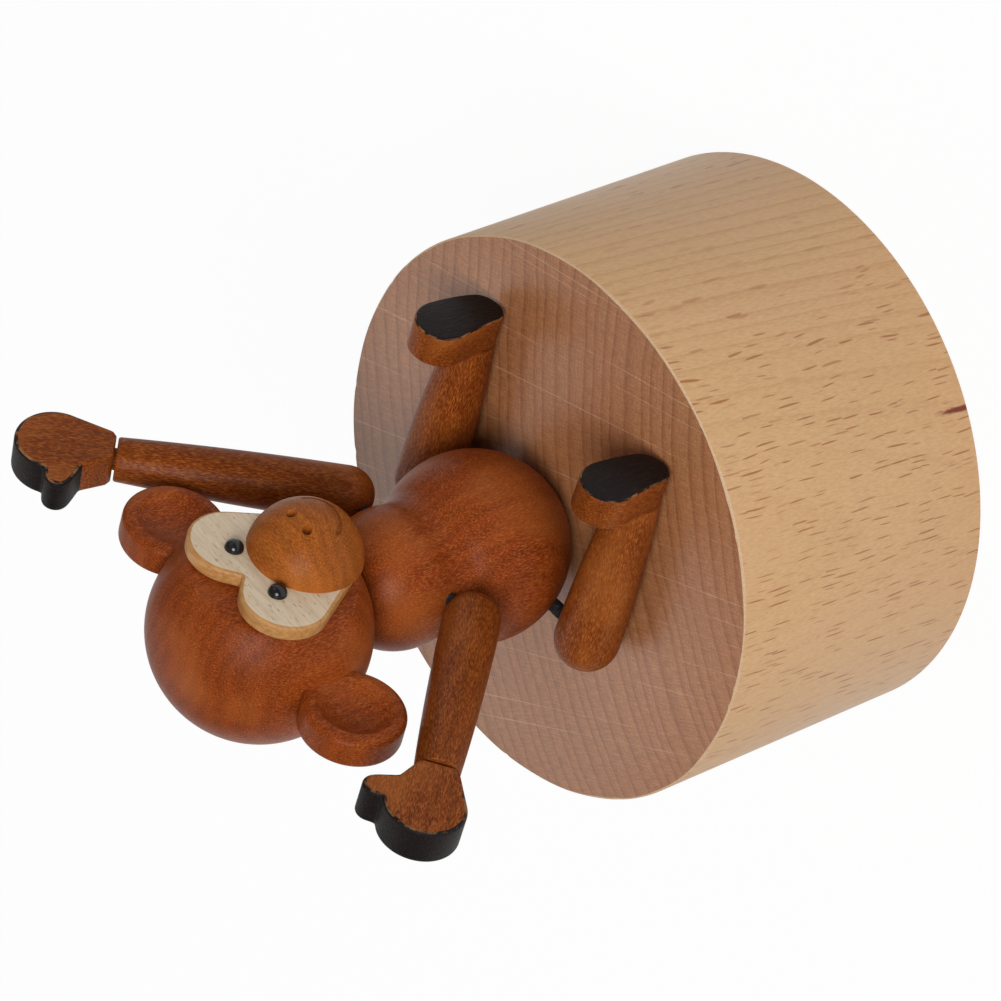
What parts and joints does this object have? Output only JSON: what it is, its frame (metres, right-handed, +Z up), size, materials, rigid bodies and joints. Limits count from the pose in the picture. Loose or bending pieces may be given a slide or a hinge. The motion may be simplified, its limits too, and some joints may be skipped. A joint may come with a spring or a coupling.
{
  "type": "wind-up music box",
  "caption": "Wooden drum music box with a jointed toy monkey seated on top; the figure turns on the winding spindle while a pinned cylinder plucks a steel comb inside.",
  "frame": {"origin": "middle of the drum's underside, on the table", "axes": "+Z up along the winding spindle, -Y the way the figure faces, +X to the figure's left"},
  "size_m": [0.09, 0.08, 0.108],
  "materials": {
    "beech": "oiled",
    "stained_wood": "satin",
    "dark_wood": "satin",
    "pale_wood": "satin",
    "fibreboard": "matte",
    "brass": "satin",
    "steel": "satin",
    "zinc": "matte",
    "light_alloy": "satin",
    "black_gloss": "gloss",
    "elastic": "matte"
  },
  "bodies": {
    "base": {"drum": "beech", "spindle_bush": "brass", "bottom_cover": "fibreboard", "cover_screws": "steel", "bedplate": "zinc", "bedplate_screws": "steel", "spring_case": "brass", "case_screws": "steel", "mainspring": "steel", "comb": "steel", "comb_screws": "steel"},
    "figure": {"torso": "stained_wood", "spindle": "steel", "great_wheel": "brass", "neck_peg": "pale_wood", "shoulder_cord": "elastic", "hip_cord": "elastic"},
    "cylinder_unit": {"cylinder": "brass", "cylinder_shaft": "steel", "cylinder_pinion": "brass", "cylinder_gear": "brass"},
    "governor_unit": {"governor_arbor": "steel", "governor_wheel": "brass"},
    "fan_unit": {"fan_arbor": "steel", "fan": "light_alloy"},
    "head_unit": {"head": "stained_wood", "face_plate": "pale_wood", "muzzle": "stained_wood", "eyes": "black_gloss", "right_ear": "stained_wood", "left_ear": "stained_wood"},
    "right_arm_unit": {"right_arm": "stained_wood"},
    "right_hand_unit": {"right_hand": "dark_wood"},
    "left_arm_unit": {"left_arm": "stained_wood"},
    "left_hand_unit": {"left_hand": "dark_wood"},
    "right_leg_unit": {"right_leg": "stained_wood"},
    "right_foot_unit": {"right_foot": "dark_wood"},
    "left_leg_unit": {"left_leg": "stained_wood"},
    "left_foot_unit": {"left_foot": "dark_wood"}
  },
  "joints": [
    {"name": "figure_turn", "type": "hinge", "parent": "base", "child": "figure", "pos_m": [0, 0, 0.044], "axis": [0, 0, 1], "continuous": true},
    {"name": "cylinder_spin", "type": "hinge", "parent": "base", "child": "cylinder_unit", "pos_m": [0.0178, 0, 0.025], "axis": [1, 0, 0], "continuous": true},
    {"name": "governor_spin", "type": "hinge", "parent": "base", "child": "governor_unit", "pos_m": [0.0178, -0.00846, 0.02808], "axis": [1, 0, 0], "continuous": true},
    {"name": "fan_spin", "type": "hinge", "parent": "base", "child": "fan_unit", "pos_m": [0.0178, -0.01401, 0.0268], "axis": [1, 0, 0], "continuous": true},
    {"name": "head_turn", "type": "hinge", "parent": "figure", "child": "head_unit", "pos_m": [0, 0, 0.0792], "axis": [0, 0, 1], "range_deg": [-70, 70]},
    {"name": "right_shoulder", "type": "hinge", "parent": "figure", "child": "right_arm_unit", "pos_m": [-0.01366, -0.003, 0.0685], "axis": [-1, 0, 0], "range_deg": [-109, 61]},
    {"name": "left_shoulder", "type": "hinge", "parent": "figure", "child": "left_arm_unit", "pos_m": [0.01366, -0.003, 0.0685], "axis": [-1, 0, 0], "range_deg": [-115, 55]},
    {"name": "right_wrist", "type": "hinge", "parent": "right_arm_unit", "child": "right_hand_unit", "pos_m": [-0.0344, -0.0034, 0.09153], "axis": [-0.6691, -0.013, 0.743], "range_deg": [-90, 90]},
    {"name": "left_wrist", "type": "hinge", "parent": "left_arm_unit", "child": "left_hand_unit", "pos_m": [0.0344, -0.00099, 0.09145], "axis": [0.6691, 0.0648, 0.7403], "range_deg": [-90, 90]},
    {"name": "right_hip", "type": "hinge", "parent": "figure", "child": "right_leg_unit", "pos_m": [-0.01749, 0.005, 0.0489], "axis": [-1, 0, 0], "range_deg": [0, 30]},
    {"name": "left_hip", "type": "hinge", "parent": "figure", "child": "left_leg_unit", "pos_m": [0.01749, 0.005, 0.0489], "axis": [-1, 0, 0], "range_deg": [0, 30]},
    {"name": "right_ankle", "type": "hinge", "parent": "right_leg_unit", "child": "right_foot_unit", "pos_m": [-0.01749, -0.01997, 0.04777], "axis": [0, -0.999, -0.0454], "range_deg": [-45, 45]},
    {"name": "left_ankle", "type": "hinge", "parent": "left_leg_unit", "child": "left_foot_unit", "pos_m": [0.01749, -0.01997, 0.04777], "axis": [0, -0.999, -0.0454], "range_deg": [-45, 45]}
  ],
  "couplings": [
    {"joint": "cylinder_spin", "follows": "figure_turn", "ratio": 3},
    {"joint": "governor_spin", "follows": "figure_turn", "ratio": -12},
    {"joint": "fan_spin", "follows": "figure_turn", "ratio": 45}
  ]
}
